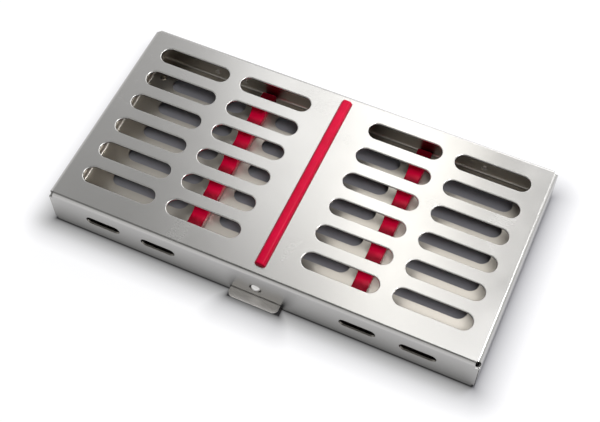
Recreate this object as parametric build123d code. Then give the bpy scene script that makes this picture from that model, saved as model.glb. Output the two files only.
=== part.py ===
"""Dental instrument cassette.

A folded steel tray with a slotted floor carries two notched silicone rails. A slotted steel cover with a
silicone hold-down bar closes over it on two butt hinges, and a sprung latch at the front keeps it shut.

Millimetres. X runs along the cassette, -Y is the latch side, +Y the hinge side and Z is up.
The pieces are drawn about the middle of the case, and written about the middle of the whole footprint,
thumb lip and hinge knuckles included, with the ground at Z = 0.
"""
import os

from build123d import *

# ---------------------------------------------------------------- driving dimensions
# Case
CASE_LENGTH = 205.0
CASE_WIDTH = 105.0
CASE_HEIGHT = 22.0
SHEET = 0.8                    # cover, tray and latch plate
COVER_BEND_RADIUS = 1.8        # outside of the fold
TRAY_BEND_RADIUS = 2.0         # outside of the fold
SKIRT_GROUND_GAP = 0.8         # lower edge of the cover above the ground
TRAY_FLOOR_HEIGHT = 2.9        # underside of the tray floor above the ground
TRAY_SIDE_GAP = 0.9            # between the cover's skirts and the tray's walls
COVER_SEAT_GAP = 0.3           # between the tray's walls and the cover plate

# Cover slots: two columns to each half of the cover
SLOT_WIDTH = 8.7
SLOT_PITCH = 15.0
SLOT_ROW_MARGIN = 7.0          # least from the cover's long edges to the rows' pitch
SLOT_ROW_SHIFT = 1.7           # towards the hinges
SLOT_END_MARGIN = 9.3          # outer slots to the cover's ends
SLOT_WEB = 6.6                 # outer slots to inner slots
SLOT_MIDDLE_MARGIN = 15.0      # inner slots to the middle
SLOT_EDGE_RADIUS = 0.4
SKIRT_SLOT_LENGTH = 17.0
SKIRT_SLOT_HEIGHT = 5.0
SKIRT_SLOT_INSETS = (26.6, 54.4)   # slot centres from the cover's ends
CORNER_RELIEF_RADIUS = 1.4
CORNER_RELIEF_DEPTH = 3.2
CORNER_SEAM = 0.3
SKIRT_CORNER_RADIUS = 2.0

# Tray floor slots
FLOOR_SLOT_WIDTH = 8.7
FLOOR_END_MARGIN = 12.7        # outer slots to the tray's ends
FLOOR_STRIP_WIDTH = 16.6       # left whole under each rail
FLOOR_MIDDLE_WEB = 10.2        # left whole in the middle
FOOT_RADIUS = 2.0              # at the ground
FOOT_FLARE = 0.7               # wider at the floor by this much
FOOT_INSET_X = 6.8             # from the tray's ends
FOOT_INSET_Y = 12.5            # from the tray's long walls

# Silicone rails
RAIL_INSET = 60.2              # from the tray's ends to a rail's middle
RAIL_WIDTH = 7.0
RAIL_END_GAP = 1.4             # to the tray's long walls, clear of their folds
RAIL_HEIGHT = 9.0
RAIL_EDGE_RADIUS = 0.5
NOTCH_PITCH = SLOT_PITCH
NOTCH_END_MARGIN = 4.0         # least from a rail's ends to the notches' pitch
NOTCH_WIDTH = 11.6
NOTCH_DEPTH = 5.5
NOTCH_CORNER_RADIUS = 4.0      # at the bottom
NOTCH_EDGE_RADIUS = 0.9        # at the top
STUD_RADIUS = 1.2
STUD_HEAD_RADIUS = 2.0
STUD_HEAD_HEIGHT = 0.7
STUD_NECK_HEIGHT = 0.9
SOFT_CLEARANCE = 0.05          # silicone about steel

# Hold-down bar
BAR_END_GAP = 4.5              # to the cover's long edges
BAR_SHIFT = 0.8                # towards the hinges
BAR_BASE_WIDTH = 5.5
BAR_TOP_WIDTH = 3.4
BAR_RISE = 1.8                 # above the cover
BAR_NECK_WIDTH = 4.0
BAR_CAP_OVERHANG = 1.0         # past each end of its slot in the cover
BAR_RIDGE_INSET = 5.0          # from the bar's ends
BAR_RIDGE_WIDTH = 6.4
BAR_RIDGE_TIP_WIDTH = 4.0
BAR_RIDGE_DROP = 5.4           # below the cover plate
BAR_EDGE_RADIUS = 0.6

# Hinges
HINGE_INSET = 40.5             # from the cover's ends to a hinge's middle
HINGE_WIDTH = 24.0
HINGE_LEAF = 0.6
HINGE_PIN_RADIUS = 0.8
HINGE_AXIS_HEIGHT = 12.5
HINGE_RUNNING_CLEARANCE = 0.05
HINGE_KNUCKLE_WIDTH = 7.4      # middle knuckle, on the cover
HINGE_KNUCKLE_GAP = 0.3
HINGE_RIVET_SPACING = 15.0
HINGE_RIVET_RADIUS = 1.0
HINGE_RIVET_HEAD_RADIUS = 1.7
HINGE_RIVET_HEAD = 0.6
HINGE_RIVET_TAIL = 0.35
COVER_RIVET_HEIGHT = 17.6
COVER_LEAF_TOP = 19.8
TRAY_RIVET_HEIGHT = 7.8
TRAY_LEAF_BOTTOM = 5.4

# Latch
LATCH_WIDTH = 24.0
LATCH_AXIS_HEIGHT = 17.0
LATCH_PIN_RADIUS = 0.75
LATCH_PIN_END = 0.4            # past each ear
LATCH_RUNNING_CLEARANCE = 0.05
LATCH_SIDE_GAP = 0.3
LATCH_KNUCKLE_WIDTH = 7.4      # each of the plate's two knuckles
LATCH_SWING_ROOM = 4.2         # how far the floor is cut back behind the plate
LIP_REACH = 4.7                # past the cover's front skirt
LIP_CORNER_RADIUS = 2.5
LIP_NOTCH_GAP = 0.6            # skirt above the lip
LIP_NOTCH_SIDE_GAP = 0.5
BUTTON_HEIGHT = 10.0
BUTTON_RADIUS = 2.7
BUTTON_HOLE_GAP = 0.2
BUTTON_SHANK_RADIUS = 1.2
BUTTON_TAIL_RADIUS = 2.0
BUTTON_TAIL_HEIGHT = 0.5
STOP_TAB_BOTTOM = 5.1
STOP_TAB_TOP = 7.6
STOP_TAB_REACH = 1.6           # past the window's side
STOP_TAB_GAP = 0.05            # behind the tray's front wall
EAR_DEPTH = 2.9                # from the tray's front wall inwards
EAR_FLANGE = 6.8               # along the wall
EAR_BOTTOM = 9.0
EAR_FLANGE_TOP = 15.4
EAR_TOP = 19.2
EAR_RIVET_RADIUS = 0.8
EAR_RIVET_HEAD_RADIUS = 1.3
EAR_RIVET_HEAD = 0.35
EAR_RIVET_SPACING = 3.2
SPRING_WIRE = 0.5
SPRING_CLEARANCE = 0.25        # coil about the pin
SPRING_LENGTH = 7.6
SPRING_LEG_DROP = 7.0
SPRING_LEG_RISE = 3.4
SPRING_LEG_GAP = 0.05          # each leg to the face that it bears on

# ---------------------------------------------------------------- worked out from them
FIXED_CLEARANCE = 0.02         # a pin or rivet in a hole of its own body
CUT = 1.0                      # how far a cutter runs past what it cuts

COVER_HALF_LENGTH = CASE_LENGTH / 2
COVER_HALF_WIDTH = CASE_WIDTH / 2
COVER_UNDERSIDE = CASE_HEIGHT - SHEET
TRAY_HALF_LENGTH = COVER_HALF_LENGTH - SHEET - TRAY_SIDE_GAP
TRAY_HALF_WIDTH = COVER_HALF_WIDTH - SHEET - TRAY_SIDE_GAP
TRAY_WALL_TOP = COVER_UNDERSIDE - COVER_SEAT_GAP
FLOOR_TOP = TRAY_FLOOR_HEIGHT + SHEET

SLOT_ROWS = int((CASE_WIDTH - 2 * SLOT_ROW_MARGIN) // SLOT_PITCH)
SLOT_LENGTH = (COVER_HALF_LENGTH - SLOT_END_MARGIN - SLOT_WEB - SLOT_MIDDLE_MARGIN) / 2
SLOT_COLUMNS = (
    SLOT_MIDDLE_MARGIN + SLOT_LENGTH / 2,
    COVER_HALF_LENGTH - SLOT_END_MARGIN - SLOT_LENGTH / 2,
)
SKIRT_SLOT_COLUMNS = [COVER_HALF_LENGTH - inset for inset in SKIRT_SLOT_INSETS]

RAIL_X = TRAY_HALF_LENGTH - RAIL_INSET
RAIL_LENGTH = 2 * (TRAY_HALF_WIDTH - SHEET - RAIL_END_GAP)
NOTCH_COUNT = int((RAIL_LENGTH - 2 * NOTCH_END_MARGIN) // NOTCH_PITCH)
FLOOR_SLOT_ENDS = (
    (FLOOR_MIDDLE_WEB / 2, RAIL_X - FLOOR_STRIP_WIDTH / 2),
    (RAIL_X + FLOOR_STRIP_WIDTH / 2, TRAY_HALF_LENGTH - FLOOR_END_MARGIN),
)
FOOT_X = TRAY_HALF_LENGTH - FOOT_INSET_X
FOOT_Y = TRAY_HALF_WIDTH - FOOT_INSET_Y

BAR_LENGTH = CASE_WIDTH - 2 * BAR_END_GAP
BAR_RIDGE_LENGTH = BAR_LENGTH - 2 * BAR_RIDGE_INSET

HINGE_X = COVER_HALF_LENGTH - HINGE_INSET
KNUCKLE_RADIUS = HINGE_PIN_RADIUS + HINGE_RUNNING_CLEARANCE + HINGE_LEAF
HINGE_AXIS_Y = COVER_HALF_WIDTH + KNUCKLE_RADIUS
BACK_SKIRT_BOTTOM = HINGE_AXIS_HEIGHT + KNUCKLE_RADIUS + 1.0
HINGE_SIDE_KNUCKLE = (HINGE_WIDTH - HINGE_KNUCKLE_WIDTH) / 2 - HINGE_KNUCKLE_GAP

LATCH_KNUCKLE_RADIUS = LATCH_PIN_RADIUS + LATCH_RUNNING_CLEARANCE + SHEET
LATCH_AXIS_Y = -TRAY_HALF_WIDTH + LATCH_KNUCKLE_RADIUS
LATCH_WINDOW_HALF_WIDTH = LATCH_WIDTH / 2 + LATCH_SIDE_GAP
LATCH_WINDOW_TOP = LATCH_AXIS_HEIGHT + LATCH_KNUCKLE_RADIUS + LATCH_SIDE_GAP
LIP_TIP_Y = -COVER_HALF_WIDTH - LIP_REACH

# The whole footprint runs from the lip's tip to the back of the hinge knuckles.
FOOTPRINT_SHIFT = -(LIP_TIP_Y + HINGE_AXIS_Y + KNUCKLE_RADIUS) / 2

ON_GROUND = (Align.CENTER, Align.CENTER, Align.MIN)
ALONG_X = (0, 90, 0)


# ---------------------------------------------------------------- shared shapes
def folded_pan(half_length, half_width, height, bend_radius):
    """An open pan of sheet on Z = 0, rounded where its floor folds into its walls."""
    outer = Box(2 * half_length, 2 * half_width, height, align=ON_GROUND)
    outer = fillet(outer.faces().sort_by(Axis.Z)[0].edges(), bend_radius)
    inner = Pos(0, 0, SHEET) * Box(
        2 * (half_length - SHEET), 2 * (half_width - SHEET), height, align=ON_GROUND
    )
    inner = fillet(inner.faces().sort_by(Axis.Z)[0].edges(), max(bend_radius - SHEET, SHEET / 8))
    return outer - inner


def mirrored_pair(positions):
    """The same X positions on both sides of the middle."""
    return [side * x for x in positions for side in (-1, 1)]


def slot_cutter(length, width, centres, low, high):
    """Round-ended slots along X, cut between two heights."""
    shape = Sketch() + [Pos(x, y) * SlotOverall(length, width) for x, y in centres]
    return Pos(0, 0, low) * extrude(shape, high - low)


def rod_along_x(radius, low_x, high_x, y, z):
    """A round bar along X."""
    middle = (low_x + high_x) / 2
    return Pos(middle, y, z) * Cylinder(radius, high_x - low_x, rotation=ALONG_X)


def rod_along_y(radius, low_y, high_y, x, z):
    """A round bar along Y."""
    middle = (low_y + high_y) / 2
    return Pos(x, middle, z) * Cylinder(radius, high_y - low_y, rotation=(90, 0, 0))


def block(low, high):
    """A box given by its lowest and highest corners."""
    sizes = [b - a for a, b in zip(low, high)]
    centre = [(a + b) / 2 for a, b in zip(low, high)]
    return Pos(*centre) * Box(*sizes)


def rivet_along_y(x, z, outer_face, inner_face, shank, head_radius, head, tail):
    """A rivet through two sheets; its low round head stands on outer_face, its tail on inner_face."""
    outwards = 1 if outer_face > inner_face else -1
    tail_radius = (shank + head_radius) / 2
    body = rod_along_y(shank, *sorted((outer_face, inner_face)), x, z)
    head_end = outer_face + outwards * head
    body += fillet(
        rod_along_y(head_radius, *sorted((outer_face, head_end)), x, z)
        .faces().sort_by(Axis.Y)[-1 if outwards > 0 else 0].edges(),
        head * 0.6,
    )
    body += rod_along_y(tail_radius, *sorted((inner_face, inner_face - outwards * tail)), x, z)
    return body


# ---------------------------------------------------------------- cover
def cover_slot_centres():
    """Centres of the slots in the cover plate."""
    first = SLOT_ROW_SHIFT - SLOT_PITCH * (SLOT_ROWS - 1) / 2
    rows = [first + SLOT_PITCH * row for row in range(SLOT_ROWS)]
    return [(x, y) for x in mirrored_pair(SLOT_COLUMNS) for y in rows]


def skirt_corner_off_front(side_x, low_y, high_y):
    """What rounds one lower corner of the front skirt."""
    middle_x, middle_z = side_x * (COVER_HALF_LENGTH - SKIRT_CORNER_RADIUS), SKIRT_GROUND_GAP + SKIRT_CORNER_RADIUS
    low_x, high_x = sorted((middle_x, side_x * (COVER_HALF_LENGTH + CUT)))
    corner = block((low_x, low_y, -CUT), (high_x, high_y, middle_z))
    return corner - rod_along_y(SKIRT_CORNER_RADIUS, low_y - CUT, high_y + CUT, middle_x, middle_z)


def skirt_corner_off_side(side_x, side_y):
    """What rounds one lower corner of a side skirt."""
    middle_y, middle_z = side_y * (COVER_HALF_WIDTH - SKIRT_CORNER_RADIUS), SKIRT_GROUND_GAP + SKIRT_CORNER_RADIUS
    low_y, high_y = sorted((middle_y, side_y * (COVER_HALF_WIDTH + CUT)))
    low_x, high_x = sorted((side_x * (COVER_HALF_LENGTH - SHEET - CUT / 2), side_x * (COVER_HALF_LENGTH + CUT)))
    corner = block((low_x, low_y, -CUT), (high_x, high_y, middle_z))
    return corner - rod_along_x(SKIRT_CORNER_RADIUS, low_x - CUT, high_x + CUT, middle_y, middle_z)


def make_cover():
    """The slotted lid: a pan upside down, with open corner seams and a low back skirt."""
    depth = CASE_HEIGHT - SKIRT_GROUND_GAP
    pan = folded_pan(COVER_HALF_LENGTH, COVER_HALF_WIDTH, depth, COVER_BEND_RADIUS)
    cover = Pos(0, 0, CASE_HEIGHT) * Rot(180, 0, 0) * pan

    centres = cover_slot_centres()
    cover -= slot_cutter(SLOT_LENGTH, SLOT_WIDTH, centres, COVER_UNDERSIDE - CUT, CASE_HEIGHT + CUT)
    plate = cover.faces().filter_by(Axis.Z).sort_by(Axis.Z)[-1]
    rims = [edge for wire in plate.inner_wires() for edge in wire.edges()]
    cover = fillet(rims, SLOT_EDGE_RADIUS)

    bar_slot_length = BAR_LENGTH - 2 * BAR_CAP_OVERHANG + 2 * SOFT_CLEARANCE
    bar_slot_width = BAR_NECK_WIDTH + 2 * SOFT_CLEARANCE
    bar_slot = Pos(0, BAR_SHIFT) * Rectangle(bar_slot_width, bar_slot_length)
    cover -= Pos(0, 0, COVER_UNDERSIDE - CUT) * extrude(bar_slot, SHEET + 2 * CUT)

    # The back skirt ends above the hinges, and the side skirts run on past it.
    cover -= block(
        (-COVER_HALF_LENGTH + SHEET, COVER_HALF_WIDTH - SHEET - CUT / 2, -CUT),
        (COVER_HALF_LENGTH - SHEET, COVER_HALF_WIDTH + CUT, BACK_SKIRT_BOTTOM),
    )

    seam_top = CASE_HEIGHT - CORNER_RELIEF_DEPTH
    for side_x in (-1, 1):
        for side_y in (-1, 1):
            corner_x = side_x * (COVER_HALF_LENGTH - SHEET)
            corner_y = side_y * (COVER_HALF_WIDTH - SHEET)
            relief = Cylinder(CORNER_RELIEF_RADIUS, CORNER_RELIEF_DEPTH + CUT, align=ON_GROUND)
            cover -= Pos(corner_x, corner_y, seam_top) * relief
            seam = Rot(0, 0, 45 * side_x * side_y) * Box(8 * SHEET, CORNER_SEAM, seam_top + CUT, align=ON_GROUND)
            cover -= Pos(corner_x, corner_y, 0) * seam

    # Front skirt: four wash slots, the button's hole and the notch over the thumb lip.
    skirt_middle = (CASE_HEIGHT + SKIRT_GROUND_GAP) / 2
    front_low, front_high = -COVER_HALF_WIDTH - CUT, -COVER_HALF_WIDTH + SHEET + CUT / 2
    for x in mirrored_pair(SKIRT_SLOT_COLUMNS):
        opening = Plane.XZ * Pos(x, skirt_middle) * SlotOverall(SKIRT_SLOT_LENGTH, SKIRT_SLOT_HEIGHT)
        cover -= Pos(0, front_high, 0) * extrude(opening, front_high - front_low)
    cover -= rod_along_y(BUTTON_RADIUS + BUTTON_HOLE_GAP, front_low, front_high, 0, BUTTON_HEIGHT)
    notch_half_width = LATCH_WIDTH / 2 + LIP_NOTCH_SIDE_GAP
    cover -= block(
        (-notch_half_width, front_low, -CUT),
        (notch_half_width, front_high, FLOOR_TOP + LIP_NOTCH_GAP),
    )

    for side_x in (-1, 1):
        cover -= skirt_corner_off_front(side_x, front_low, front_high)
        for side_y in (-1, 1):
            cover -= skirt_corner_off_side(side_x, side_y)
    for hinge_x in (-HINGE_X, HINGE_X):
        for x in hinge_rivet_columns(hinge_x):
            cover -= rod_along_y(
                HINGE_RIVET_RADIUS + FIXED_CLEARANCE, COVER_HALF_WIDTH - SHEET - CUT / 2,
                COVER_HALF_WIDTH + CUT, x, COVER_RIVET_HEIGHT,
            )
    return cover


def make_hold_down_bar():
    """The silicone bar that the cover presses on the instruments, held in its slot by its own groove."""
    top = CASE_HEIGHT + BAR_RISE
    cap = Plane.XZ * Polygon(
        (-BAR_BASE_WIDTH / 2, CASE_HEIGHT), (BAR_BASE_WIDTH / 2, CASE_HEIGHT),
        (BAR_TOP_WIDTH / 2, top), (-BAR_TOP_WIDTH / 2, top), align=None,
    )
    cap = extrude(cap, BAR_LENGTH / 2, both=True)
    cap = fillet(cap.edges().filter_by(lambda edge: edge.center().Z > CASE_HEIGHT + 0.01), BAR_EDGE_RADIUS)

    neck_length = BAR_LENGTH - 2 * BAR_CAP_OVERHANG
    neck = Pos(0, 0, COVER_UNDERSIDE) * Box(BAR_NECK_WIDTH, neck_length, SHEET, align=ON_GROUND)

    ridge = Plane.XZ * Polygon(
        (-BAR_RIDGE_WIDTH / 2, COVER_UNDERSIDE), (BAR_RIDGE_WIDTH / 2, COVER_UNDERSIDE),
        (BAR_RIDGE_TIP_WIDTH / 2, COVER_UNDERSIDE - BAR_RIDGE_DROP),
        (-BAR_RIDGE_TIP_WIDTH / 2, COVER_UNDERSIDE - BAR_RIDGE_DROP), align=None,
    )
    ridge = extrude(ridge, BAR_RIDGE_LENGTH / 2, both=True)
    tip_edges = ridge.edges().filter_by(lambda edge: edge.center().Z < COVER_UNDERSIDE - BAR_RIDGE_DROP + 0.01)
    ridge = fillet(tip_edges, BAR_EDGE_RADIUS)
    return Pos(0, BAR_SHIFT, 0) * (cap + neck + ridge)


# ---------------------------------------------------------------- tray
def floor_slot_centres(column_x):
    """Centres of one pair of floor slot columns."""
    rows = [SLOT_PITCH * (row - (SLOT_ROWS - 1) / 2) for row in range(SLOT_ROWS)]
    return [(x, y) for x in mirrored_pair([column_x]) for y in rows]


def stud_rows():
    """Places of a rail's studs along Y: one under each tooth."""
    return [NOTCH_PITCH * (index - NOTCH_COUNT / 2) for index in range(NOTCH_COUNT + 1)]


def make_tray():
    """The lower pan: slotted floor, pressed feet, and the latch's window in its front wall."""
    height = TRAY_WALL_TOP - TRAY_FLOOR_HEIGHT
    tray = Pos(0, 0, TRAY_FLOOR_HEIGHT) * folded_pan(TRAY_HALF_LENGTH, TRAY_HALF_WIDTH, height, TRAY_BEND_RADIUS)

    for inner_end, outer_end in FLOOR_SLOT_ENDS:
        centres = floor_slot_centres((inner_end + outer_end) / 2)
        tray -= slot_cutter(
            outer_end - inner_end, FLOOR_SLOT_WIDTH, centres, TRAY_FLOOR_HEIGHT - CUT, FLOOR_TOP + CUT
        )

    for x in (-FOOT_X, FOOT_X):
        for y in (-FOOT_Y, FOOT_Y):
            cup = Cone(FOOT_RADIUS, FOOT_RADIUS + FOOT_FLARE, FLOOR_TOP, align=ON_GROUND)
            hollow = Cone(FOOT_RADIUS - SHEET, FOOT_RADIUS + FOOT_FLARE - SHEET, FLOOR_TOP, align=ON_GROUND)
            tray = tray + Pos(x, y, 0) * cup - Pos(x, y, SHEET) * hollow

    tray -= block(
        (-LATCH_WINDOW_HALF_WIDTH, -TRAY_HALF_WIDTH - CUT, TRAY_FLOOR_HEIGHT - CUT),
        (LATCH_WINDOW_HALF_WIDTH, -TRAY_HALF_WIDTH + SHEET + LATCH_SWING_ROOM, FLOOR_TOP + CUT),
    )
    tray -= block(
        (-LATCH_WINDOW_HALF_WIDTH, -TRAY_HALF_WIDTH - CUT, TRAY_FLOOR_HEIGHT - CUT),
        (LATCH_WINDOW_HALF_WIDTH, -TRAY_HALF_WIDTH + SHEET + CUT, LATCH_WINDOW_TOP),
    )

    for x in (-RAIL_X, RAIL_X):
        for y in stud_rows():
            hole = Cylinder(STUD_RADIUS + FIXED_CLEARANCE, SHEET + 2 * CUT, align=ON_GROUND)
            tray -= Pos(x, y, TRAY_FLOOR_HEIGHT - CUT) * hole
    for hinge_x in (-HINGE_X, HINGE_X):
        for x in hinge_rivet_columns(hinge_x):
            tray -= rod_along_y(
                HINGE_RIVET_RADIUS + FIXED_CLEARANCE, TRAY_HALF_WIDTH - SHEET - CUT,
                TRAY_HALF_WIDTH + CUT, x, TRAY_RIVET_HEIGHT,
            )
    for x, z in ear_rivet_places():
        tray -= rod_along_y(
            EAR_RIVET_RADIUS + FIXED_CLEARANCE, -TRAY_HALF_WIDTH - CUT, -TRAY_HALF_WIDTH + SHEET + CUT, x, z
        )
    return tray


def make_rail(rail_x):
    """One silicone rail: a comb of rounded notches across it, open at both ends, on sockets for its studs."""
    outline = Pos(0, RAIL_HEIGHT / 2) * Rectangle(RAIL_LENGTH, RAIL_HEIGHT)
    # A notch is the lower half of a rounded rectangle, twice as high as the notch is deep.
    notch = RectangleRounded(NOTCH_WIDTH, 2 * NOTCH_DEPTH, NOTCH_CORNER_RADIUS)
    for tooth_y in stud_rows():
        outline -= Pos(tooth_y + NOTCH_PITCH / 2, RAIL_HEIGHT) * notch
    outline -= Pos(-NOTCH_PITCH * (NOTCH_COUNT + 1) / 2, RAIL_HEIGHT) * notch
    rail = Pos(-RAIL_WIDTH / 2, 0, 0) * extrude(Plane.YZ * outline, RAIL_WIDTH)
    crests = rail.edges().filter_by(Axis.X).filter_by(lambda edge: edge.center().Z > RAIL_HEIGHT - 0.01)
    ends = rail.edges().filter_by(Axis.X).filter_by(
        lambda edge: abs(edge.center().Y) > RAIL_LENGTH / 2 - 0.01 and edge.center().Z > 0.1
    )
    rail = fillet(crests + ends, NOTCH_EDGE_RADIUS)
    side_edges = rail.edges().filter_by(
        lambda edge: abs(abs(edge.center().X) - RAIL_WIDTH / 2) < 0.01 and edge.bounding_box().min.Z > 0.1
    )
    rail = fillet(side_edges, RAIL_EDGE_RADIUS)
    rail = Pos(rail_x, 0, FLOOR_TOP) * rail
    for y in stud_rows():
        rail -= stud(rail_x, y, SOFT_CLEARANCE)
    return rail


def stud(x, y, clearance=0.0):
    """A mushroom stud clinched in the tray floor; with a clearance, the socket that it presses into."""
    neck = Cylinder(STUD_RADIUS + clearance, FLOOR_TOP - TRAY_FLOOR_HEIGHT + STUD_NECK_HEIGHT, align=ON_GROUND)
    head = Cylinder(
        STUD_HEAD_RADIUS + clearance, STUD_HEAD_HEIGHT + 2 * clearance, align=ON_GROUND
    )
    clinch = Cylinder(STUD_HEAD_RADIUS, STUD_HEAD_HEIGHT, align=ON_GROUND)
    return (
        Pos(x, y, TRAY_FLOOR_HEIGHT) * neck
        + Pos(x, y, FLOOR_TOP + STUD_NECK_HEIGHT - clearance) * head
        + Pos(x, y, TRAY_FLOOR_HEIGHT - STUD_HEAD_HEIGHT) * clinch
    )


# ---------------------------------------------------------------- hinges
def hinge_rivet_columns(hinge_x):
    """X places of one leaf's rivets."""
    return (hinge_x - HINGE_RIVET_SPACING / 2, hinge_x + HINGE_RIVET_SPACING / 2)


def knuckle(low_x, high_x, bore):
    """One rolled knuckle about the hinge axis."""
    ring = rod_along_x(KNUCKLE_RADIUS, low_x, high_x, HINGE_AXIS_Y, HINGE_AXIS_HEIGHT)
    return ring, rod_along_x(bore, low_x - CUT, high_x + CUT, HINGE_AXIS_Y, HINGE_AXIS_HEIGHT)


def make_cover_leaf(hinge_x):
    """The leaf on the cover's back skirt, with the middle knuckle."""
    face = COVER_HALF_WIDTH
    plate_bottom = HINGE_AXIS_HEIGHT + KNUCKLE_RADIUS + HINGE_KNUCKLE_GAP
    low_x, high_x = hinge_x - HINGE_KNUCKLE_WIDTH / 2, hinge_x + HINGE_KNUCKLE_WIDTH / 2
    leaf = block(
        (hinge_x - HINGE_WIDTH / 2, face, plate_bottom), (hinge_x + HINGE_WIDTH / 2, face + HINGE_LEAF, COVER_LEAF_TOP)
    )
    ring, bore = knuckle(low_x, high_x, HINGE_PIN_RADIUS + HINGE_RUNNING_CLEARANCE)
    leaf += block((low_x, face, HINGE_AXIS_HEIGHT), (high_x, face + HINGE_LEAF, plate_bottom))
    leaf = leaf + ring - bore
    for x in hinge_rivet_columns(hinge_x):
        leaf -= rod_along_y(
            HINGE_RIVET_RADIUS + FIXED_CLEARANCE, face - CUT, face + HINGE_LEAF + CUT, x, COVER_RIVET_HEIGHT
        )
    return leaf


def make_tray_leaf(hinge_x):
    """The leaf on the tray's back wall, bent outwards under the axis, with the two outer knuckles."""
    face = TRAY_HALF_WIDTH
    shelf_bottom = HINGE_AXIS_HEIGHT - KNUCKLE_RADIUS
    shelf_top = shelf_bottom + HINGE_LEAF
    half_width = HINGE_WIDTH / 2
    leaf = block((hinge_x - half_width, face, TRAY_LEAF_BOTTOM), (hinge_x + half_width, face + HINGE_LEAF, shelf_top))
    bores = []
    for side in (-1, 1):
        outer_x = hinge_x + side * half_width
        inner_x = outer_x - side * HINGE_SIDE_KNUCKLE
        low_x, high_x = min(outer_x, inner_x), max(outer_x, inner_x)
        ring, bore = knuckle(low_x, high_x, HINGE_PIN_RADIUS + FIXED_CLEARANCE)
        leaf = leaf + ring + block((low_x, face, shelf_bottom), (high_x, HINGE_AXIS_Y, shelf_top))
        bores.append(bore)
    for bore in bores:
        leaf -= bore
    for x in hinge_rivet_columns(hinge_x):
        leaf -= rod_along_y(
            HINGE_RIVET_RADIUS + FIXED_CLEARANCE, face - CUT, face + HINGE_LEAF + CUT, x, TRAY_RIVET_HEIGHT
        )
    return leaf


def make_hinge_pin(hinge_x):
    """The pin, fixed in the tray's knuckles, with a rolled-over head at each end."""
    end = HINGE_WIDTH / 2
    head_start = end + FIXED_CLEARANCE
    pin = rod_along_x(HINGE_PIN_RADIUS, hinge_x - head_start, hinge_x + head_start, HINGE_AXIS_Y, HINGE_AXIS_HEIGHT)
    for side in (-1, 1):
        inner, outer = hinge_x + side * head_start, hinge_x + side * (head_start + HINGE_LEAF)
        low_x, high_x = min(inner, outer), max(inner, outer)
        pin += rod_along_x(
            HINGE_PIN_RADIUS + HINGE_LEAF / 2, low_x, high_x, HINGE_AXIS_Y, HINGE_AXIS_HEIGHT
        )
    return pin


def make_hinge_rivets(wall_face, height):
    """The four rivets that hold two leaves to one wall."""
    rivets = []
    for hinge_x in (-HINGE_X, HINGE_X):
        for x in hinge_rivet_columns(hinge_x):
            rivets.append(rivet_along_y(
                x, height, wall_face + HINGE_LEAF, wall_face - SHEET, HINGE_RIVET_RADIUS,
                HINGE_RIVET_HEAD_RADIUS, HINGE_RIVET_HEAD, HINGE_RIVET_TAIL,
            ))
    return rivets


# ---------------------------------------------------------------- latch
def ear_rivet_places():
    """X and Z of the rivets in the latch's two ears."""
    x = LATCH_WINDOW_HALF_WIDTH + SHEET + EAR_FLANGE / 2
    middle = (EAR_BOTTOM + EAR_FLANGE_TOP) / 2
    heights = (middle - EAR_RIVET_SPACING / 2, middle + EAR_RIVET_SPACING / 2)
    return [(side * x, z) for side in (-1, 1) for z in heights]


def make_latch_plate():
    """The latch: a plate hung on its pin in the wall's window, folded out below into the thumb lip."""
    half_width = LATCH_WIDTH / 2
    outer, inner = -TRAY_HALF_WIDTH, -TRAY_HALF_WIDTH + SHEET
    plate = block((-half_width, outer, TRAY_FLOOR_HEIGHT), (half_width, inner, LATCH_AXIS_HEIGHT))
    for side in (-1, 1):
        low_x, high_x = sorted((side * half_width, side * (half_width - LATCH_KNUCKLE_WIDTH)))
        plate += rod_along_x(LATCH_KNUCKLE_RADIUS, low_x, high_x, LATCH_AXIS_Y, LATCH_AXIS_HEIGHT)
    bore = LATCH_PIN_RADIUS + LATCH_RUNNING_CLEARANCE
    plate -= rod_along_x(bore, -half_width - CUT, half_width + CUT, LATCH_AXIS_Y, LATCH_AXIS_HEIGHT)
    coil_room = half_width - LATCH_KNUCKLE_WIDTH
    plate -= block(
        (-coil_room, outer - CUT, LATCH_AXIS_HEIGHT - LATCH_KNUCKLE_RADIUS - LATCH_SIDE_GAP),
        (coil_room, inner + 2 * LATCH_KNUCKLE_RADIUS, LATCH_AXIS_HEIGHT + LATCH_KNUCKLE_RADIUS + CUT),
    )

    tab_reach = LATCH_WINDOW_HALF_WIDTH + STOP_TAB_REACH
    tab_face = inner + STOP_TAB_GAP
    plate += block((-tab_reach, tab_face, STOP_TAB_BOTTOM), (tab_reach, tab_face + SHEET, STOP_TAB_TOP))
    plate += block((-half_width, outer, STOP_TAB_BOTTOM), (half_width, tab_face + SHEET, STOP_TAB_TOP))

    lip = block((-half_width, LIP_TIP_Y, TRAY_FLOOR_HEIGHT), (half_width, inner, FLOOR_TOP))
    tip_corners = lip.edges().filter_by(Axis.Z).filter_by(lambda edge: edge.center().Y < LIP_TIP_Y + 0.01)
    lip = fillet(tip_corners, LIP_CORNER_RADIUS)
    plate += lip
    heel = plate.edges().filter_by(Axis.X).filter_by(
        lambda edge: edge.center().Z < TRAY_FLOOR_HEIGHT + 0.01 and edge.center().Y > inner - 0.01
    )
    plate = fillet(heel, SHEET * 0.9)
    return plate - rod_along_y(
        BUTTON_SHANK_RADIUS + FIXED_CLEARANCE, outer - CUT, inner + CUT, 0, BUTTON_HEIGHT
    )


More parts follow.
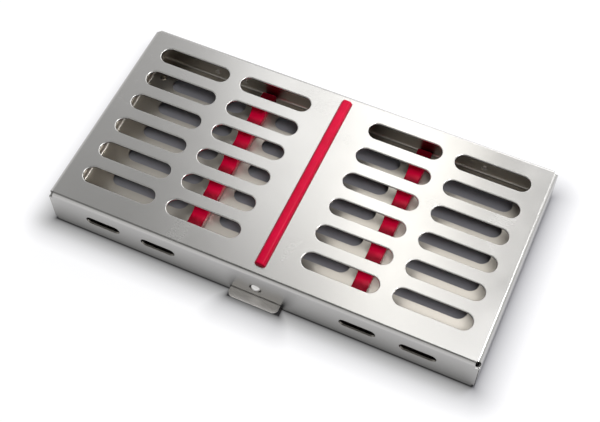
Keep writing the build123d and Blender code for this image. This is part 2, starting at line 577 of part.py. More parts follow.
def make_latch_button():
    """The domed button that snaps into the hole in the cover's front skirt."""
    outer, inner = -TRAY_HALF_WIDTH, -TRAY_HALF_WIDTH + SHEET
    dome = Pos(0, outer, BUTTON_HEIGHT) * Sphere(BUTTON_RADIUS)
    dome -= block((-2 * BUTTON_RADIUS, outer, 0), (2 * BUTTON_RADIUS, outer + 2 * BUTTON_RADIUS, 2 * BUTTON_HEIGHT))
    shank = rod_along_y(BUTTON_SHANK_RADIUS, outer - BUTTON_SHANK_RADIUS, inner, 0, BUTTON_HEIGHT)
    tail = rod_along_y(BUTTON_TAIL_RADIUS, inner, inner + BUTTON_TAIL_HEIGHT, 0, BUTTON_HEIGHT)
    return dome + shank + tail


def make_latch_ear(side):
    """One of the two angle brackets that carry the latch pin, riveted inside the tray's front wall."""
    wall = -TRAY_HALF_WIDTH + SHEET
    near, far = side * LATCH_WINDOW_HALF_WIDTH, side * (LATCH_WINDOW_HALF_WIDTH + SHEET)
    flange_end = far + side * EAR_FLANGE
    ear = block((min(near, far), wall, EAR_BOTTOM), (max(near, far), wall + EAR_DEPTH, EAR_TOP))
    ear += block((min(near, flange_end), wall, EAR_BOTTOM), (max(near, flange_end), wall + SHEET, EAR_FLANGE_TOP))
    ear -= rod_along_x(
        LATCH_PIN_RADIUS + FIXED_CLEARANCE, min(near, far) - CUT, max(near, far) + CUT,
        LATCH_AXIS_Y, LATCH_AXIS_HEIGHT,
    )
    for x, z in ear_rivet_places():
        ear -= rod_along_y(EAR_RIVET_RADIUS + FIXED_CLEARANCE, wall - CUT, wall + SHEET + CUT, x, z)
    return ear


def make_latch_rivets():
    """The four rivets of the latch's ears."""
    outer, inner = -TRAY_HALF_WIDTH, -TRAY_HALF_WIDTH + 2 * SHEET
    return [
        rivet_along_y(x, z, outer, inner, EAR_RIVET_RADIUS, EAR_RIVET_HEAD_RADIUS, EAR_RIVET_HEAD, EAR_RIVET_HEAD)
        for x, z in ear_rivet_places()
    ]


def make_latch_pin():
    """The pin pressed in the two ears."""
    end = LATCH_WINDOW_HALF_WIDTH + SHEET + LATCH_PIN_END
    pin = rod_along_x(LATCH_PIN_RADIUS, -end, end, LATCH_AXIS_Y, LATCH_AXIS_HEIGHT)
    return chamfer(pin.edges().filter_by(GeomType.CIRCLE), LATCH_PIN_END / 2)


def make_latch_spring():
    """The torsion spring about the pin: a plain sleeve for its coil, one leg on the plate, one on the wall."""
    inner_radius = LATCH_PIN_RADIUS + SPRING_CLEARANCE
    outer_radius = inner_radius + SPRING_WIRE
    half_length = SPRING_LENGTH / 2
    coil = rod_along_x(outer_radius, -half_length, half_length, LATCH_AXIS_Y, LATCH_AXIS_HEIGHT)
    leg_x = half_length - SPRING_WIRE
    leg_y = -TRAY_HALF_WIDTH + SHEET + SPRING_LEG_GAP + SPRING_WIRE / 2
    lower_leg = Pos(-leg_x, leg_y, LATCH_AXIS_HEIGHT - SPRING_LEG_DROP) * Cylinder(
        SPRING_WIRE / 2, SPRING_LEG_DROP, align=ON_GROUND
    )
    upper_leg = Pos(leg_x, leg_y, LATCH_AXIS_HEIGHT) * Cylinder(
        SPRING_WIRE / 2, SPRING_LEG_RISE, align=ON_GROUND
    )
    spring = coil + lower_leg + upper_leg
    return spring - rod_along_x(inner_radius, -half_length - CUT, half_length + CUT, LATCH_AXIS_Y, LATCH_AXIS_HEIGHT)


# ---------------------------------------------------------------- every node
def make_parts():
    """Each node's name and its solids."""
    parts = {
        "cover": make_cover(),
        "hold_down_bar": make_hold_down_bar(),
        "tray": make_tray(),
        "cover_hinge_rivets": make_hinge_rivets(COVER_HALF_WIDTH, COVER_RIVET_HEIGHT),
        "tray_hinge_rivets": make_hinge_rivets(TRAY_HALF_WIDTH, TRAY_RIVET_HEIGHT),
        "latch_plate": make_latch_plate(),
        "latch_button": make_latch_button(),
        "latch_spring": make_latch_spring(),
        "latch_pin": make_latch_pin(),
        "latch_rivets": make_latch_rivets(),
    }
    for side, name in ((-1, "left"), (1, "right")):
        parts[f"{name}_rail"] = make_rail(side * RAIL_X)
        parts[f"{name}_rail_studs"] = [stud(side * RAIL_X, y) for y in stud_rows()]
        parts[f"{name}_cover_hinge_leaf"] = make_cover_leaf(side * HINGE_X)
        parts[f"{name}_tray_hinge_leaf"] = make_tray_leaf(side * HINGE_X)
        parts[f"{name}_hinge_pin"] = make_hinge_pin(side * HINGE_X)
        parts[f"{name}_latch_ear"] = make_latch_ear(side)
    return parts


def write_parts():
    """Writes one STEP file for each node."""
    os.makedirs("parts", exist_ok=True)
    to_footprint = Pos(0, FOOTPRINT_SHIFT, 0)
    for name, made in make_parts().items():
        solids = made if isinstance(made, list) else [made]
        placed = [to_footprint * solid for solid in solids]
        shape = placed[0] if len(placed) == 1 else Compound(children=placed)
        export_step(shape, f"parts/{name}.step")
    print(f"footprint shift {FOOTPRINT_SHIFT:.3f}")
    print(f"hinge axis y {HINGE_AXIS_Y + FOOTPRINT_SHIFT:.3f} z {HINGE_AXIS_HEIGHT:.3f}")
    print(f"latch axis y {LATCH_AXIS_Y + FOOTPRINT_SHIFT:.3f} z {LATCH_AXIS_HEIGHT:.3f}")


write_parts()
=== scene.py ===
"""Looks of a dental instrument cassette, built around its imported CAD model.

The steel sheet parts keep their CAD shape and get their finishes here. The silicone rails, the silicone
hold-down bar and the latch spring are modelled again in more detail. Everything is in metres, in the
CAD model's frame: X along the cassette, -Y the latch side, Z up from the ground.
"""
import logging
import math
from dataclasses import dataclass
from enum import Enum

import bmesh
import bpy
from mathutils import Matrix, Vector

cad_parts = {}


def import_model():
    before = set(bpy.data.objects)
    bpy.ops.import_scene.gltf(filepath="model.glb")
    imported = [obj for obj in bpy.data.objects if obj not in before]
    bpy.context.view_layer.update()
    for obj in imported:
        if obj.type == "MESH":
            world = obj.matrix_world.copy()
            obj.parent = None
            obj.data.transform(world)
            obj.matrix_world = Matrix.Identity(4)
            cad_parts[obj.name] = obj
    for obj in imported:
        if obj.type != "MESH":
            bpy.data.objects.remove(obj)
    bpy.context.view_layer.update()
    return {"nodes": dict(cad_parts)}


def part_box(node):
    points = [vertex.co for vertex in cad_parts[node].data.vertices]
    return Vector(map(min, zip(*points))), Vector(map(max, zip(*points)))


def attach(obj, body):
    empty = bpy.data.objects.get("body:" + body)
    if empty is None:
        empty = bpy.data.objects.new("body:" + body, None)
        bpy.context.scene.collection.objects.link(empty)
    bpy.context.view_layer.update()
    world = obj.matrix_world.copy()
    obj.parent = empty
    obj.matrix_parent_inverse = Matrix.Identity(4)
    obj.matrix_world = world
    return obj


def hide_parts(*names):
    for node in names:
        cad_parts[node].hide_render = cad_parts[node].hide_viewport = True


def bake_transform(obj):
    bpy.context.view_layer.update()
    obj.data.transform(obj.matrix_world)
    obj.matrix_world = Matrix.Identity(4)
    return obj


MM = 0.001
LOG = logging.getLogger("cassette")


class Side(Enum):
    """A side of the cassette, as seen from the latch."""

    LEFT = -1
    RIGHT = 1

    @property
    def word(self) -> str:
        """The side's name in node names."""
        return self.name.lower()


class Brushing(Enum):
    """Which way a sheet was brushed."""

    ALONG = 0
    ACROSS = 1


# ---------------------------------------------------------------- shared helpers
def linear(colour: str) -> tuple[float, float, float, float]:
    """Turns an sRGB hex colour into linear light.

    Args:
        colour: The colour, such as "#d0033f".

    Returns:
        Red, green, blue and an alpha of 1.
    """
    channels = [int(colour[i:i + 2], 16) / 255 for i in (1, 3, 5)]
    red, green, blue = [c / 12.92 if c <= 0.04045 else ((c + 0.055) / 1.055) ** 2.4 for c in channels]
    return red, green, blue, 1.0


def add_node(tree: bpy.types.NodeTree, kind: str, links: dict | None = None, **settings) -> bpy.types.Node:
    """Adds a shader node with its settings, its constants and its links.

    Args:
        tree: The node tree that it goes into.
        kind: The node's type, without the leading "ShaderNode".
        links: Input name or number, to a constant or to the output socket that feeds it.
        **settings: The node's own properties.

    Returns:
        The new node.
    """
    node = tree.nodes.new("ShaderNode" + kind)
    for name, value in settings.items():
        setattr(node, name, value)
    for name, value in (links or {}).items():
        if isinstance(value, bpy.types.NodeSocket):
            tree.links.new(value, node.inputs[name])
        else:
            node.inputs[name].default_value = value
    return node


def new_material(name: str) -> tuple[bpy.types.Material, bpy.types.NodeTree]:
    """Makes an empty node material.

    Args:
        name: The material's name.

    Returns:
        The material and its node tree.
    """
    material = bpy.data.materials.new(name)
    material.use_nodes = True
    material.node_tree.nodes.clear()
    return material, material.node_tree


def show(tree: bpy.types.NodeTree, shader: bpy.types.NodeSocket) -> None:
    """Sends a shader to the material's output."""
    add_node(tree, "OutputMaterial", {"Surface": shader})


def seen_directly(tree: bpy.types.NodeTree) -> bpy.types.NodeSocket:
    """Tells what the camera, a reflection or a glass sees from what lights the scene.

    Args:
        tree: The node tree that it goes into.

    Returns:
        A socket that is 1 where it is seen and 0 where it only lights.
    """
    rays = add_node(tree, "LightPath").outputs
    seen = add_node(
        tree, "Math", {0: rays["Is Camera Ray"], 1: rays["Is Glossy Ray"]}, operation="MAXIMUM"
    ).outputs[0]
    return add_node(tree, "Math", {0: seen, 1: rays["Is Transmission Ray"]}, operation="MAXIMUM").outputs[0]


def dress(piece: bpy.types.Object, material: bpy.types.Material) -> None:
    """Gives a piece one material all over."""
    piece.data.materials.clear()
    piece.data.materials.append(material)


def finish_mesh(name: str, mesh: bmesh.types.BMesh, material: bpy.types.Material) -> bpy.types.Object:
    """Closes a modelled shape and makes it an object at the origin.

    Args:
        name: The piece's name.
        mesh: Its shape, already in place.
        material: Its finish.

    Returns:
        The new object, linked to the scene.
    """
    bmesh.ops.remove_doubles(mesh, verts=mesh.verts, dist=0.002 * MM)
    bmesh.ops.recalc_face_normals(mesh, faces=mesh.faces)
    data = bpy.data.meshes.new(name)
    mesh.to_mesh(data)
    mesh.free()
    data.shade_smooth()
    piece = bpy.data.objects.new(name, data)
    bpy.context.scene.collection.objects.link(piece)
    dress(piece, material)
    return piece


# ---------------------------------------------------------------- finishes
@dataclass(frozen=True)
class SatinStainless:
    """Satin stainless steel sheet, brushed on a belt in the flat and then folded.

    The belt leaves short fine lines, which spread a highlight across them and keep it narrow along them. On
    walls that were folded down across the lines, the lines run up the wall.
    """

    name: str
    brushing: Brushing = Brushing.ALONG
    colour: str = "#bbbab8"
    roughness: float = 0.25
    anisotropy: float = 0.45
    grain_mm: float = 0.22         # real lines are about 0.05 mm apart: drawn coarser, to show
    grain_length_mm: float = 5.0
    grain_depth_mm: float = 0.00008
    smear_mm: float = 26.0
    smear: float = 0.05

    def material(self) -> bpy.types.Material:
        """Makes the steel."""
        material, tree = new_material(self.name)
        place = add_node(tree, "TexCoord").outputs["Object"]
        normal = add_node(tree, "NewGeometry").outputs["Normal"]
        fine, long = 1 / (self.grain_mm * MM), 1 / (self.grain_length_mm * MM)
        if self.brushing is Brushing.ALONG:
            fold_axis, flat_scale, flat_line = "X", (long, fine, fine), (1.0, 0.0, 0.0)
        else:
            fold_axis, flat_scale, flat_line = "Y", (fine, long, fine), (0.0, 1.0, 0.0)
        towards_fold = add_node(tree, "SeparateXYZ", {0: normal}).outputs[fold_axis]
        facing = add_node(tree, "Math", {0: towards_fold}, operation="ABSOLUTE").outputs[0]
        wall = add_node(tree, "Math", {0: facing, 1: 0.7}, operation="GREATER_THAN").outputs[0]
        flat_grain = add_node(tree, "Mapping", {"Vector": place, "Scale": flat_scale}).outputs[0]
        wall_grain = add_node(tree, "Mapping", {"Vector": place, "Scale": (fine, fine, long)}).outputs[0]
        grain_place = add_node(
            tree, "Mix", {0: wall, 4: flat_grain, 5: wall_grain}, data_type="VECTOR"
        ).outputs[1]
        grain = add_node(
            tree, "TexNoise", {"Vector": grain_place, "Scale": 1.0, "Detail": 3.0, "Roughness": 0.6}
        ).outputs[0]
        smear = add_node(
            tree, "TexNoise",
            {"Vector": place, "Scale": 1 / (self.smear_mm * MM), "Detail": 4.0, "Roughness": 0.55, "Distortion": 0.4},
        ).outputs[0]
        rough_grain = add_node(
            tree, "MapRange",
            {"Value": grain, "From Min": 0.3, "From Max": 0.7, "To Min": -0.008, "To Max": 0.008},
        ).outputs[0]
        rough = add_node(
            tree, "MapRange",
            {"Value": smear, "From Min": 0.3, "From Max": 0.7, "To Min": self.roughness - self.smear / 2,
             "To Max": self.roughness + self.smear / 2},
        ).outputs[0]
        rough = add_node(tree, "Math", {0: rough, 1: rough_grain}, operation="ADD").outputs[0]
        tint = add_node(
            tree, "MapRange", {"Value": grain, "From Min": 0.25, "From Max": 0.75, "To Min": 0.98, "To Max": 1.02}
        ).outputs[0]
        colour = add_node(
            tree, "VectorMath", {0: linear(self.colour)[:3], "Scale": tint}, operation="SCALE"
        ).outputs[0]
        bump = add_node(
            tree, "Bump", {"Height": grain, "Distance": self.grain_depth_mm * MM, "Strength": 1.0}
        ).outputs[0]
        line_direction = add_node(
            tree, "Mix", {0: wall, 4: flat_line, 5: (0.0, 0.0, 1.0)}, data_type="VECTOR"
        ).outputs[1]
        steel = add_node(
            tree, "BsdfPrincipled",
            {"Base Color": colour, "Metallic": 1.0, "Roughness": rough, "Anisotropic": self.anisotropy,
             "Anisotropic Rotation": 0.25, "Tangent": line_direction, "Normal": bump},
        )
        show(tree, steel.outputs[0])
        return material


@dataclass(frozen=True)
class BrightStainless:
    """Cold-formed stainless steel of the pins, rivets, studs and button: brighter, with no brushed grain."""

    name: str
    colour: str = "#d9d8d6"
    roughness: float = 0.12
    ripple_mm: float = 0.8
    ripple_depth_mm: float = 0.004

    def material(self) -> bpy.types.Material:
        """Makes the steel."""
        material, tree = new_material(self.name)
        place = add_node(tree, "TexCoord").outputs["Object"]
        ripple = add_node(
            tree, "TexNoise", {"Vector": place, "Scale": 1 / (self.ripple_mm * MM), "Detail": 2.0}
        ).outputs[0]
        rough = add_node(
            tree, "MapRange",
            {"Value": ripple, "From Min": 0.3, "From Max": 0.7, "To Min": self.roughness - 0.05,
             "To Max": self.roughness + 0.05},
        ).outputs[0]
        bump = add_node(
            tree, "Bump", {"Height": ripple, "Distance": self.ripple_depth_mm * MM, "Strength": 1.0}
        ).outputs[0]
        steel = add_node(
            tree, "BsdfPrincipled",
            {"Base Color": linear(self.colour), "Metallic": 1.0, "Roughness": rough, "Normal": bump},
        )
        show(tree, steel.outputs[0])
        return material


@dataclass(frozen=True)
class SpringWire:
    """Drawn stainless spring wire, duller than sheet, with draw marks along it."""

    name: str
    colour: str = "#a9a9a8"
    roughness: float = 0.36
    mark_mm: float = 0.1

    def material(self) -> bpy.types.Material:
        """Makes the wire."""
        material, tree = new_material(self.name)
        place = add_node(tree, "TexCoord").outputs["Object"]
        marks = add_node(
            tree, "TexNoise", {"Vector": place, "Scale": 1 / (self.mark_mm * MM), "Detail": 1.0}
        ).outputs[0]
        rough = add_node(
            tree, "MapRange",
            {"Value": marks, "To Min": self.roughness - 0.06, "To Max": self.roughness + 0.06},
        ).outputs[0]
        wire = add_node(
            tree, "BsdfPrincipled", {"Base Color": linear(self.colour), "Metallic": 1.0, "Roughness": rough}
        )
        show(tree, wire.outputs[0])
        return material


@dataclass(frozen=True)
class MouldedSilicone:
    """Compression-moulded medical silicone: a deep crimson with a soft gloss and a faint mould texture."""

    name: str
    colour: str = "#f40045"
    deep_colour: str = "#e4003c"
    roughness: float = 0.38
    mould_mm: float = 0.35         # blasted mould skin, drawn coarser than its real 0.05 mm
    mould_depth_mm: float = 0.006
    cloud_mm: float = 9.0

    def material(self) -> bpy.types.Material:
        """Makes the silicone."""
        material, tree = new_material(self.name)
        place = add_node(tree, "TexCoord").outputs["Object"]
        skin = add_node(
            tree, "TexNoise", {"Vector": place, "Scale": 1 / (self.mould_mm * MM), "Detail": 2.0}
        ).outputs[0]
        cloud = add_node(
            tree, "TexNoise", {"Vector": place, "Scale": 1 / (self.cloud_mm * MM), "Detail": 3.0}
        ).outputs[0]
        mixed = add_node(
            tree, "MapRange", {"Value": cloud, "From Min": 0.35, "From Max": 0.65}
        ).outputs[0]
        colour = add_node(
            tree, "Mix", {0: mixed, 6: linear(self.deep_colour), 7: linear(self.colour)}, data_type="RGBA"
        ).outputs[2]
        rough = add_node(
            tree, "MapRange",
            {"Value": skin, "From Min": 0.3, "From Max": 0.7, "To Min": self.roughness - 0.05,
             "To Max": self.roughness + 0.06},
        ).outputs[0]
        bump = add_node(
            tree, "Bump", {"Height": skin, "Distance": self.mould_depth_mm * MM, "Strength": 1.0}
        ).outputs[0]
        silicone = add_node(
            tree, "BsdfPrincipled",
            {"Base Color": colour, "Roughness": rough, "IOR": 1.41, "Specular IOR Level": 0.18, "Normal": bump,
             "Subsurface Weight": 0.08,
             "Subsurface Radius": (1.0, 0.15, 0.1), "Subsurface Scale": 1.5 * MM},
        )
        show(tree, silicone.outputs[0])
        return material


@dataclass(frozen=True)
class StudioPaper:
    """Matt grey background paper, lifted to white for the camera and in reflections by a glow. The glow fades to
    nothing at the cassette's edge and under it, which paints shade there: a darker band round the cassette and its
    lip, on top of their real shadow.
    """

    name: str
    colour: str = "#8a8a90"
    lift: float = 0.85
    painted_shade_reach: float = 16.0 * MM       # how far from the cassette's edge the painted shade reaches; beyond it the lift is whole

    def material(self, boxes: list[tuple[Vector, Vector]]) -> bpy.types.Material:
        """Makes the paper.

        Args:
            boxes: The lowest and highest corners of each thing round which shade is painted on the paper.

        Returns:
            The paper.
        """
        material, tree = new_material(self.name)
        place = add_node(tree, "TexCoord").outputs["Object"]
        distance = 1.0
        for low, high in boxes:
            centred = add_node(tree, "VectorMath", {0: place, 1: (low + high) / 2}, operation="SUBTRACT").outputs[0]
            apart = add_node(tree, "VectorMath", {0: centred}, operation="ABSOLUTE").outputs[0]
            outside = add_node(tree, "VectorMath", {0: apart, 1: (high - low) / 2}, operation="SUBTRACT").outputs[0]
            outside = add_node(tree, "VectorMath", {0: outside, 1: (0.0, 0.0, 0.0)}, operation="MAXIMUM").outputs[0]
            level = add_node(tree, "VectorMath", {0: outside, 1: (1.0, 1.0, 0.0)}, operation="MULTIPLY").outputs[0]
            beside = add_node(tree, "VectorMath", {0: level}, operation="LENGTH").outputs["Value"]
            distance = add_node(tree, "Math", {0: distance, 1: beside}, operation="MINIMUM").outputs[0]
        # painted shade: the glow is nothing inside the boxes and grows with the square root of the distance from them
        clear = add_node(tree, "MapRange", {"Value": distance, "From Max": self.painted_shade_reach}).outputs[0]
        ramp = add_node(tree, "Math", {0: clear, 1: 0.5}, operation="POWER").outputs[0]
        lift = add_node(tree, "Math", {0: ramp, 1: self.lift}, operation="MULTIPLY").outputs[0]
        strength = add_node(tree, "Math", {0: seen_directly(tree), 1: lift}, operation="MULTIPLY").outputs[0]
        paper = add_node(tree, "BsdfDiffuse", {"Color": linear(self.colour)}).outputs[0]
        glow = add_node(tree, "Emission", {"Strength": strength}).outputs[0]
        show(tree, add_node(tree, "AddShader", {0: paper, 1: glow}).outputs[0])
        return material


# ---------------------------------------------------------------- profile drawing
class Outline:
    """A chain of edges in the plane of Y and Z, drawn by runs and turns from one point."""

    def __init__(self, mesh: bmesh.types.BMesh, x: float, y: float, z: float) -> None:
        """Starts the outline.

        Args:
            mesh: Where it is drawn.
            x: The plane's place.
            y: The first point.
            z: The first point.
        """
        self.mesh = mesh
        self.start = mesh.verts.new((x, y, z))
        self.end = self.start

    def run(self, dy: float, dz: float) -> None:
        """Draws a straight line from the last point by a step."""
        made = bmesh.ops.extrude_vert_indiv(self.mesh, verts=[self.end])
        self.end = made["verts"][0]
        bmesh.ops.translate(self.mesh, verts=[self.end], vec=(0.0, dy, dz))

    def turn(self, dy: float, dz: float, angle: float, steps: int) -> None:
        """Draws an arc from the last point.

        Args:
            dy: The arc's centre, from the last point.
            dz: The arc's centre, from the last point.
            angle: How far it turns, in radians, positive from +Y towards +Z.
            steps: How many edges it has.
        """
        centre = self.end.co + Vector((0.0, dy, dz))
        made = bmesh.ops.spin(
            self.mesh, geom=[self.end], cent=centre, axis=(1.0, 0.0, 0.0), angle=angle, steps=steps,
            use_merge=False,
        )
        self.end = [part for part in made["geom_last"] if isinstance(part, bmesh.types.BMVert)][0]

    def fill(self) -> bmesh.types.BMFace:
        """Closes the outline and fills it.

        Returns:
            The face.
        """
        self.mesh.edges.new((self.end, self.start))
        made = bmesh.ops.contextual_create(self.mesh, geom=list(self.mesh.edges))
        return made["faces"][0]


# ---------------------------------------------------------------- silicone pieces
@dataclass
class SiliconeRail:
    """One notched rail on the tray floor: rounded notches across it, open at both ends, and soft crests."""

    side: Side
    finish: MouldedSilicone
    notches: int = 5
    notch_pitch: float = 15.0 * MM
    notch_width: float = 11.6 * MM
    notch_depth: float = 5.5 * MM
    corner_radius: float = 4.0 * MM
    crest_radius: float = 0.9 * MM
    edge_radius: float = 0.5 * MM
    arc_steps: int = 6

    def outline(self, mesh: bmesh.types.BMesh, low: Vector, high: Vector) -> bmesh.types.BMFace:
        """Draws the rail's side.

        Args:
            mesh: Where it is drawn.
            low: The rail's lowest corner.
            high: The rail's highest corner.

        Returns:
            The side as one face.
        """
        crest, corner, quarter = self.crest_radius, self.corner_radius, math.pi / 2
        shelf = high.z - low.z - self.notch_depth - crest
        wall = self.notch_depth - crest - corner
        tooth = self.notch_pitch - self.notch_width - 2 * crest
        notch = self.notch_width - 2 * corner
        end = (high.y - low.y - self.notches * self.notch_pitch - tooth) / 2 - 2 * crest - corner
        line = Outline(mesh, low.x, low.y, low.z)
        line.run(0.0, shelf)
        line.turn(crest, 0.0, -quarter, self.arc_steps)
        line.run(end, 0.0)
        for number in range(self.notches + 1):
            if number:
                line.run(notch, 0.0)
            line.turn(0.0, corner, quarter, self.arc_steps)
            line.run(0.0, wall)
            line.turn(crest, 0.0, -quarter, self.arc_steps)
            line.run(tooth, 0.0)
            line.turn(0.0, -crest, -quarter, self.arc_steps)
            line.run(0.0, -wall)
            line.turn(corner, 0.0, quarter, self.arc_steps)
        line.run(end, 0.0)
        line.turn(0.0, -crest, -quarter, self.arc_steps)
        line.run(0.0, -shelf)
        return line.fill()

    def build(self) -> bpy.types.Object:
        """Models the rail where its CAD node is.

        Returns:
            The piece, riding on the tray.
        """
        node = f"{self.side.word}_rail"
        low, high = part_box(node)
        mesh = bmesh.new()
        face = self.outline(mesh, low, high)
        made = bmesh.ops.extrude_face_region(mesh, geom=[face])
        moved = [part for part in made["geom"] if isinstance(part, bmesh.types.BMVert)]
        bmesh.ops.translate(mesh, verts=moved, vec=(high.x - low.x, 0.0, 0.0))
        bmesh.ops.recalc_face_normals(mesh, faces=mesh.faces)
        rims = [
            edge for edge in mesh.edges
            if abs(edge.verts[0].co.x - edge.verts[1].co.x) < 0.01 * MM
            and max(vert.co.z for vert in edge.verts) > low.z + self.edge_radius
        ]
        bmesh.ops.bevel(
            mesh, geom=rims, offset=self.edge_radius, segments=3, profile=0.5, affect="EDGES", material=-1
        )
        piece = finish_mesh(f"{node}_silicone", mesh, self.finish.material())
        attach(piece, "tray")
        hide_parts(node)
        return piece


@dataclass
class HoldDownBar:
    """The silicone bar through the cover: a crowned cap above, a groove on the sheet, a ridge below."""

    finish: MouldedSilicone
    base_width: float = 5.5 * MM
    top_width: float = 3.4 * MM
    rise: float = 1.8 * MM
    neck_width: float = 4.0 * MM
    neck_inset: float = 1.0 * MM
    ridge_width: float = 6.4 * MM
    ridge_tip: float = 4.0 * MM
    ridge_inset: float = 5.0 * MM
    sheet: float = 0.8 * MM
    edge_radius: float = 0.7 * MM

    def slab(self, mesh: bmesh.types.BMesh, size: Vector, middle: Vector, taper: float, wide_up: bool) -> None:
        """Adds a long block that narrows away from the sheet, with its far edges rounded.

        Args:
            mesh: Where it goes.
            size: Its width, length and height.
            middle: Its middle.
            taper: Its width at the narrow face, as a share of the wide one.
            wide_up: Whether the wide face is the upper one.
        """
        made = bmesh.ops.create_cube(mesh, size=1.0)
        verts = made["verts"]
        bmesh.ops.scale(mesh, verts=verts, vec=size)
        narrow = [v for v in verts if (v.co.z < 0) == wide_up]
        bmesh.ops.scale(mesh, verts=narrow, vec=(taper, 1.0, 1.0))
        bmesh.ops.translate(mesh, verts=verts, vec=middle)
        edges = {e for v in narrow for e in v.link_edges}
        bmesh.ops.bevel(
            mesh, geom=list(edges), offset=self.edge_radius, segments=4, profile=0.5, affect="EDGES", material=-1
        )

    def build(self) -> bpy.types.Object:
        """Models the bar where its CAD node is.

        Returns:
            The piece, riding on the cover.
        """
        low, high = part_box("hold_down_bar")
        middle = (low + high) / 2
        length = high.y - low.y
        top_of_sheet = high.z - self.rise
        under_sheet = top_of_sheet - self.sheet
        mesh = bmesh.new()
        self.slab(
            mesh, Vector((self.base_width, length, self.rise)),
            Vector((middle.x, middle.y, top_of_sheet + self.rise / 2)), self.top_width / self.base_width, False,
        )
        neck = bmesh.ops.create_cube(mesh, size=1.0)["verts"]
        bmesh.ops.scale(mesh, verts=neck, vec=(self.neck_width, length - 2 * self.neck_inset, self.sheet))
        bmesh.ops.translate(mesh, verts=neck, vec=(middle.x, middle.y, (top_of_sheet + under_sheet) / 2))
        drop = under_sheet - low.z
        self.slab(
            mesh, Vector((self.ridge_width, length - 2 * self.ridge_inset, drop)),
            Vector((middle.x, middle.y, under_sheet - drop / 2)), self.ridge_tip / self.ridge_width, True,
        )
        piece = finish_mesh("hold_down_bar_silicone", mesh, self.finish.material())
        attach(piece, "cover")
        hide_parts("hold_down_bar")
        return piece


# ---------------------------------------------------------------- steel pieces
@dataclass
class SteelCase:
    """The tray, the cover, the hinges and the latch, which keep their CAD shapes."""

    sheet: SatinStainless
    tray: SatinStainless
    latch: SatinStainless
    hardware: BrightStainless

    SHEET_NODES = (
        "cover", "left_cover_hinge_leaf", "right_cover_hinge_leaf", "left_tray_hinge_leaf",
        "right_tray_hinge_leaf", "left_latch_ear", "right_latch_ear",
    )
    HARDWARE_NODES = (
        "left_rail_studs", "right_rail_studs", "left_hinge_pin", "right_hinge_pin", "cover_hinge_rivets",
        "tray_hinge_rivets", "latch_button", "latch_pin", "latch_rivets",
    )

    def build(self, nodes: dict[str, bpy.types.Object]) -> list[bpy.types.Object]:
        """Dresses the nodes.

        Args:
            nodes: The CAD nodes by name.

        Returns:
            The nodes that were dressed.
        """
        groups = (
            (self.SHEET_NODES, self.sheet.material()),
            (("tray",), self.tray.material()),
            (("latch_plate",), self.latch.material()),
            (self.HARDWARE_NODES, self.hardware.material()),
        )
        dressed = []
        for names, material in groups:
            for name in names:
                dress(nodes[name], material)
                dressed.append(nodes[name])
        return dressed


@dataclass
class LatchSpring:
    """The latch's torsion spring: a close coil of wire about the pin, one leg on the plate, one on the wall."""

    finish: SpringWire
    wire: float = 0.5 * MM
    leg_inset: float = 0.5 * MM    # of the legs in front of the coil's middle
    turns: float = 13.5
    ring_points: int = 10
    turn_steps: int = 20
    bend_steps: int = 5

    def build(self) -> bpy.types.Object:
        """Winds the spring where its CAD node is, from the end of its lower leg.

        Returns:
            The piece, whose lower leg swings with the latch.
        """
        low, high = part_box("latch_spring")
        pin_low, pin_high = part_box("latch_pin")
        middle = (pin_low + pin_high) / 2
        radius = (high.y - middle.y) - self.wire / 2
        reach = radius + self.leg_inset
        steps = round(self.turns * self.turn_steps)
        travel = high.x - low.x - self.wire
        mesh = bmesh.new()
        ring = bmesh.ops.create_circle(mesh, segments=self.ring_points, radius=self.wire / 2)["verts"]
        foot = Vector((low.x + self.wire / 2, middle.y - self.leg_inset, low.z))
        bmesh.ops.translate(mesh, verts=ring, vec=foot)
        end = self.lengthen(mesh, list(mesh.edges), middle.z - reach - low.z)
        end = self.bend(mesh, end, (0.0, middle.y, middle.z - reach), -math.pi / 2, self.bend_steps, 0.0)
        end = self.bend(mesh, end, middle, self.turns * 2 * math.pi, steps, travel / steps)
        end = self.bend(mesh, end, (0.0, middle.y, middle.z + reach), -math.pi / 2, self.bend_steps, 0.0)
        self.lengthen(mesh, end, high.z - middle.z - reach)
        bmesh.ops.holes_fill(mesh, edges=mesh.edges, sides=self.ring_points)
        piece = finish_mesh("latch_spring_coil", mesh, self.finish.material())
        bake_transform(piece)
        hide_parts("latch_spring")
        return piece

    def lengthen(
        self, mesh: bmesh.types.BMesh, ring: list[bmesh.types.BMEdge], rise: float
    ) -> list[bmesh.types.BMEdge]:
        """Runs the wire straight up from a ring.

        Args:
            mesh: The wire so far.
            ring: The edges round its end.
            rise: How far it runs.

        Returns:
            The edges round the new end.
        """
        made = bmesh.ops.extrude_edge_only(mesh, edges=ring)["geom"]
        moved = [part for part in made if isinstance(part, bmesh.types.BMVert)]
        bmesh.ops.translate(mesh, verts=moved, vec=(0.0, 0.0, rise))
        return list({edge for vert in moved for edge in vert.link_edges if edge.other_vert(vert) in moved})

    def bend(
        self, mesh: bmesh.types.BMesh, ring: list[bmesh.types.BMEdge], centre: tuple[float, float, float] | Vector,
        angle: float, steps: int, pitch: float,
    ) -> list[bmesh.types.BMEdge]:
        """Bends or winds the wire about an axis along X.

        Args:
            mesh: The wire so far.
            ring: The edges round its end.
            centre: A point on the axis.
            angle: How far it turns, in radians, positive from +Y towards +Z.
            steps: How many pieces the turn has.
            pitch: How far each of them moves along X.

        Returns:
            The edges round the new end.
        """
        points = list({vert for edge in ring for vert in edge.verts})
        made = bmesh.ops.spin(
            mesh, geom=points + ring, cent=centre, axis=(1.0, 0.0, 0.0), dvec=(pitch, 0.0, 0.0), angle=angle,
            steps=steps, use_merge=False,
        )
        return [part for part in made["geom_last"] if isinstance(part, bmesh.types.BMEdge)]


